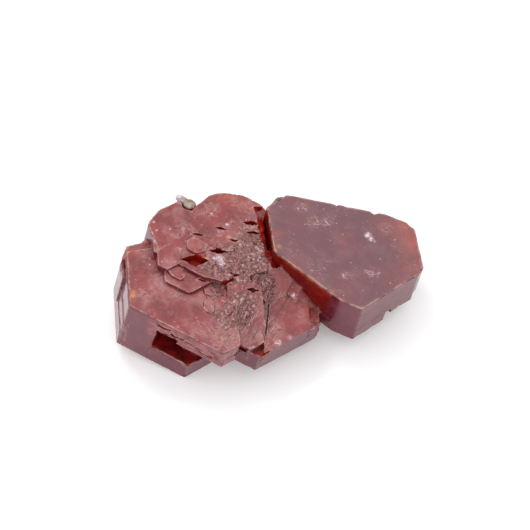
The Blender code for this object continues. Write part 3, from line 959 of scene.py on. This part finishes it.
# Painted shade: the clear inner red, reflecting less, where the walls shut out the white surroundings.
shadedInnerRed = {
    "clouds": (0.9, 4.0, 0.6, 0.3, 0.38, 0.62),
    "dark": (0.120, 0.004, 0.002),
    "clear": (0.40, 0.012, 0.006),
    # painted shade: darker red low down
    "deepDark": (0.070, 0.003, 0.002),
    "deepClear": (0.210, 0.007, 0.006),
    # painted shade: darker red on the right crystal's gap walls
    "gapDark": (0.120, 0.003, 0.002),
    "gapClear": (0.210, 0.007, 0.004),
    # painted glow below the right crystal's rim
    "paintedRimGlow": (0.34, 0.075, 0.022),
    "paintedRimGlowClouds": (1.3, 4.0, 0.6, 0.4, 0.40, 0.60),
    # painted highlight along the right crystal's rims
    "edge": (0.60, 0.30, 0.20),
    "edgeRight": (0.0, 1.0, 0.2, 1.0),
    "edgeClouds": (2.4, 4.0, 0.65, 0.0, 0.38, 0.56),
    "smears": (3.0, 3.0, 0.55, 0.0, 0.3, 0.7, 0.25, 0.5),       # roughness
    "grit": (3.0, 4.0, 0.55, 0.0),
    "bump": 0.3,
    "bumpDepth": 0.00006,
    "ior": 1.35,
}


def shadedInnerRedMaterial():
    make = Nodes("vanadiniteShadedInside", shadedInnerRed)
    right, clouds = make.value("right"), make.clouds("clouds")
    body = make.mix(clouds, "dark", "clear")
    deepBody = make.mix(clouds, "deepDark", "deepClear")
    # painted shade: darker low down and on the right crystal's gap walls
    body = make.mix(make.value("high"), deepBody, body)
    gapBody = make.mix(clouds, "gapDark", "gapClear")
    body = make.mix(right, body, gapBody)
    # painted glow below the right crystal's rim
    body = make.lay(body, "paintedRimGlow", make.value("paintedRimGlow"), make.clouds("paintedRimGlowClouds"))
    # painted highlight along the right crystal's rims
    edgeShare = make.spread(right, "edgeRight")
    body = make.lay(body, "edge", make.value("rim"), edgeShare, make.clouds("edgeClouds"))
    return make.finish(body, make.clouds("smears"), make.noise("grit"))


# The grain of leftover host rock in the notch at the back.
hostRock = {
    "clouds": (1.6, 4.0, 0.6, 0.0, 0.42, 0.6),
    "pale": (0.40, 0.31, 0.26),
    "green": (0.20, 0.145, 0.095),
    "tip": (0.62, 0.53, 0.55),
    "tipEnd": (-7.15, -6.80, 1.0, 0.0),       # the clear tip ends between these x, in mm
    "stain": (0.20, 0.045, 0.035),
    "stainTop": (8.00, 8.30, 1.0, 0.0),       # and the red stain of the crystal between these heights
    "stainClouds": (2.5, 3.0, 0.55, 0.0, 0.3, 0.7, -0.12, 0.12),
    "smears": (6.0, 3.0, 0.55, 0.0, 0.3, 0.7, 0.35, 0.6),
    "grit": (7.0, 4.0, 0.55, 0.0),
    "bump": 0.6,
    "bumpDepth": 0.00008,
    "ior": 1.5,
}


def hostRockMaterial():
    make = Nodes("hostRockPale", hostRock)
    body = make.mix(make.clouds("clouds"), "green", "pale")
    where = make.add("ShaderNodeSeparateXYZ", {0: make.place()}).outputs
    body = make.lay(body, "tip", make.spread(where["X"], "tipEnd"))
    height = make.maths('ADD', where["Z"], make.clouds("stainClouds"))
    body = make.lay(body, "stain", make.spread(height, "stainTop"))
    return make.finish(body, make.clouds("smears"), make.noise("grit"))


def buildCrystal():
    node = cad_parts["vanadinite_crystal"]
    mesh, rim, crease, patchOf = refill(node, "crystalFaces")
    shut = shutIn(mesh, node)
    inside = sortPatches(mesh, patchOf, shut)
    layers = paint(mesh, rim, crease, shut)
    insidePoints, outsidePoints = set(), set()
    looksIn = []
    for face, patch in zip(mesh.polygons, patchOf):
        place = face.center / mm
        looksIn.append((patch in inside and not pastGap(place)) or isNear(place, "redChip"))
        (insidePoints if looksIn[-1] else outsidePoints).update(face.vertices)
    carve(mesh, rim, insidePoints & outsidePoints)
    mesh.update()
    mesh.set_sharp_from_angle(angle=math.radians(relief["sharpAngle"]))
    for face, seenInside in zip(mesh.polygons, looksIn):
        face.material_index = 1 if seenInside else 0
        face.use_smooth = sum(layers["etched"][index] for index in face.vertices) < relief["flatFrom"]
    piece = bpy.data.objects.new("crystalFaces", mesh)
    bpy.context.scene.collection.objects.link(piece)
    mesh.materials.append(vanadiniteMaterial())
    mesh.materials.append(shadedInnerRedMaterial())
    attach(piece, "root")
    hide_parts("vanadinite_crystal")
    print("crystal: %d points, %d triangles" % (len(mesh.vertices), len(mesh.polygons)))


def dressGrain():
    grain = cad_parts["pale_grain"]
    grain.data.materials.clear()
    grain.data.materials.append(hostRockMaterial())


studio = {
    "eye": (0.051, -124.72, 182.31),      # mm
    "elevation": 55.0,
    "lens": 180.0,                        # mm, on a sensor this wide
    "sensor": 36.0,
    "shift": (-3 / 530, 20 / 530),
    "clip": (0.01, 20.0),                 # nearest and farthest seen, in m
    "floorSize": 3.0,                     # m
    "floorDrop": 0.02,                    # mm
    "floorColour": (0.78, 0.78, 0.78),
    "floorRoughness": 0.7,
    "floorLight": 0.20,                   # the white floor is lit from below as well
    "skyLow": (0.95, 0.95, 0.96),         # colour of the surroundings near the table
    "skyHigh": (1.5, 1.49, 1.5),          # and of the soft box overhead
    "skyFade": (0.35, 0.95),              # heights, as a sine, between which it changes
    "lampPlace": (-0.12, 0.20, 0.42),     # m
    "lampSize": 0.10,
    "lampPower": 0.3,
}


def buildStudio():
    scene = bpy.context.scene
    camera = bpy.data.objects.new("camera", bpy.data.cameras.new("camera"))
    scene.collection.objects.link(camera)
    camera.data.lens = studio["lens"]
    camera.data.sensor_width = studio["sensor"]
    camera.data.shift_x, camera.data.shift_y = studio["shift"]
    camera.data.clip_start, camera.data.clip_end = studio["clip"]
    camera.location = Vector(studio["eye"]) * mm
    camera.rotation_euler = (math.radians(90 - studio["elevation"]), 0, 0)
    scene.camera = camera

    half = studio["floorSize"] / 2
    mesh = bpy.data.meshes.new("floor")
    corners = [(-half, -half, 0), (half, -half, 0), (half, half, 0), (-half, half, 0)]
    mesh.from_pydata(corners, [], [(0, 1, 2, 3)])
    floor = bpy.data.objects.new("floor", mesh)
    floor.location.z = -studio["floorDrop"] * mm
    scene.collection.objects.link(floor)
    make = Nodes("paleFloor", studio)
    make.set({"Base Color": "floorColour", "Emission Color": (1, 1, 1), "Emission Strength": "floorLight",
              "Roughness": "floorRoughness", "Specular IOR Level": 0.0})
    mesh.materials.append(make.material)

    world = bpy.data.worlds.new("softSky")
    world.use_nodes = True
    nodes, links = world.node_tree.nodes, world.node_tree.links
    height = nodes.new("ShaderNodeSeparateXYZ")
    links.new(nodes.new("ShaderNodeTexCoord").outputs["Generated"], height.inputs[0])
    fade = nodes.new("ShaderNodeMapRange")
    fade.interpolation_type = 'SMOOTHSTEP'
    fade.inputs["From Min"].default_value, fade.inputs["From Max"].default_value = studio["skyFade"]
    links.new(height.outputs["Z"], fade.inputs["Value"])
    blend = nodes.new("ShaderNodeMix")
    blend.data_type = 'RGBA'
    blend.inputs[6].default_value = (*studio["skyLow"], 1)
    blend.inputs[7].default_value = (*studio["skyHigh"], 1)
    links.new(fade.outputs["Result"], blend.inputs[0])
    links.new(blend.outputs[2], nodes["Background"].inputs["Color"])
    scene.world = world

    lamp = bpy.data.lights.new("softLamp", 'AREA')
    lamp.shape = 'SQUARE'
    lamp.size = studio["lampSize"]
    lamp.energy = studio["lampPower"]
    light = bpy.data.objects.new("softLamp", lamp)
    light.location = studio["lampPlace"]
    light.rotation_euler = (-light.location).to_track_quat('-Z', 'Y').to_euler()
    scene.collection.objects.link(light)
    scene.view_settings.view_transform = 'Standard'
    scene.view_settings.look = 'None'


buildStudio()
print("studio ready")
buildCrystal()
dressGrain()
print("surfaces ready")
